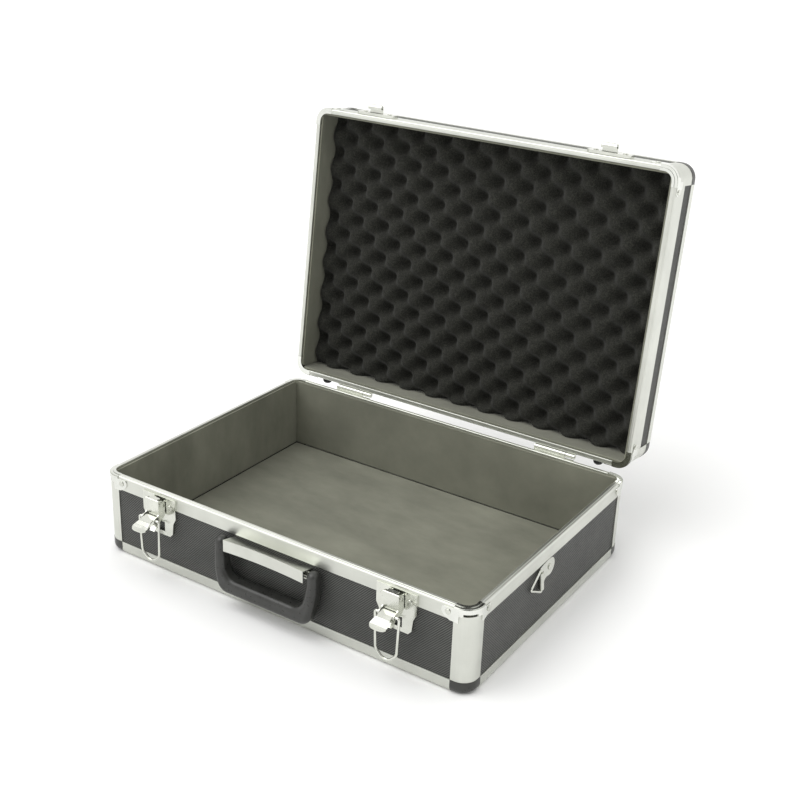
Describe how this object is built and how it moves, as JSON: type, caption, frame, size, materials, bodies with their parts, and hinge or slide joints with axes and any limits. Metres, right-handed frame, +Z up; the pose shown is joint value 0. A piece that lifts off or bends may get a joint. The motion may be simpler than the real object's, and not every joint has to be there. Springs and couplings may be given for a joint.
{
  "type": "attache case",
  "caption": "Hard attache case with aluminium edge frame, hinged lid, draw latches, swinging carry handle, side strap rings and an egg-crate foam lid lining.",
  "frame": {"origin": "middle of the case's flat underside, on the surface it stands on", "axes": "+X to the right seen from the handle side, +Y towards the hinges, +Z up; the lid stands open at rest"},
  "size_m": [0.4652, 0.4647, 0.4397],
  "materials": {
    "aluminium": "satin anodised extrusion",
    "panel": "dark grey plastic-skinned board with fine diagonal ribs",
    "black_plastic": "satin moulded plastic",
    "steel": "bright plated steel",
    "nickel": "nickel-plated pressed steel",
    "zinc": "zinc-plated steel",
    "lining": "grey-olive lined board",
    "foam": "dark egg-crate foam",
    "rubber": "moulded rubber"
  },
  "bodies": {
    "base": {"base_corner_posts": "aluminium", "base_edge_rails": "aluminium", "base_floor_pad": "lining", "base_moulded_corners": "black_plastic", "base_panel_back": "panel", "base_panel_bottom": "panel", "base_panel_front": "panel", "base_panel_left": "panel", "base_panel_right": "panel", "base_rim_back": "aluminium", "base_rim_front": "aluminium", "base_rim_left": "aluminium", "base_rim_right": "aluminium", "base_rivets": "zinc", "base_rubber_feet": "rubber", "base_steel_corners": "steel", "base_wall_lining": "lining", "handle_brackets": "zinc", "handle_cover": "aluminium", "handle_rod": "zinc", "hinge_base_leaf_left": "zinc", "hinge_base_leaf_right": "zinc", "hinge_pins": "zinc", "latch_pin_left": "nickel", "latch_pin_right": "nickel", "latch_plate_left": "nickel", "latch_plate_right": "nickel", "ring_plate_left": "nickel", "ring_plate_right": "nickel"},
    "lid": {"hinge_lid_leaf_left": "zinc", "hinge_lid_leaf_right": "zinc", "lid_catch_left": "nickel", "lid_catch_right": "nickel", "lid_corner_posts": "aluminium", "lid_edge_rails": "aluminium", "lid_foam_pad": "foam", "lid_moulded_corners": "black_plastic", "lid_panel_back": "panel", "lid_panel_front": "panel", "lid_panel_left": "panel", "lid_panel_right": "panel", "lid_panel_top": "panel", "lid_rim_back": "aluminium", "lid_rim_front": "aluminium", "lid_rim_left": "aluminium", "lid_rim_right": "aluminium", "lid_rivets": "zinc", "lid_rubber_feet": "rubber", "lid_steel_corners": "steel", "lid_wall_lining": "lining"},
    "handle": {"handle": "black_plastic"},
    "bail_left": {"latch_bail_left": "nickel"},
    "bail_right": {"latch_bail_right": "nickel"},
    "lever_left": {"latch_lever_left": "nickel"},
    "lever_right": {"latch_lever_right": "nickel"},
    "ring_left": {"side_ring_left": "nickel"},
    "ring_right": {"side_ring_right": "nickel"}
  },
  "joints": [
    {"name": "lid_hinge", "type": "hinge", "parent": "base", "child": "lid", "pos_m": [0, 0.1682, 0.0964], "axis": [1, 0, 0], "range_deg": [0, 97]},
    {"name": "lever_left_pivot", "type": "hinge", "parent": "base", "child": "lever_left", "pos_m": [-0.148, -0.1739, 0.0855], "axis": [1, 0, 0], "range_deg": [-100, 0]},
    {"name": "bail_left_pivot", "type": "hinge", "parent": "lever_left", "child": "bail_left", "pos_m": [-0.148, -0.182, 0.07], "axis": [-1, 0, 0], "range_deg": [0, 195]},
    {"name": "lever_right_pivot", "type": "hinge", "parent": "base", "child": "lever_right", "pos_m": [0.148, -0.1739, 0.0855], "axis": [1, 0, 0], "range_deg": [-100, 0]},
    {"name": "bail_right_pivot", "type": "hinge", "parent": "lever_right", "child": "bail_right", "pos_m": [0.148, -0.182, 0.07], "axis": [-1, 0, 0], "range_deg": [0, 195]},
    {"name": "handle_swing", "type": "hinge", "parent": "base", "child": "handle", "pos_m": [0, -0.1726, 0.071], "axis": [-1, 0, 0], "range_deg": [0, 100]},
    {"name": "ring_left_swing", "type": "hinge", "parent": "base", "child": "ring_left", "pos_m": [-0.23005, -0.0339, 0.06215], "axis": [0, 0.165, -0.9863], "range_deg": [0, 160]},
    {"name": "ring_right_swing", "type": "hinge", "parent": "base", "child": "ring_right", "pos_m": [0.23005, -0.0339, 0.06215], "axis": [0, -0.165, 0.9863], "range_deg": [0, 160]}
  ]
}
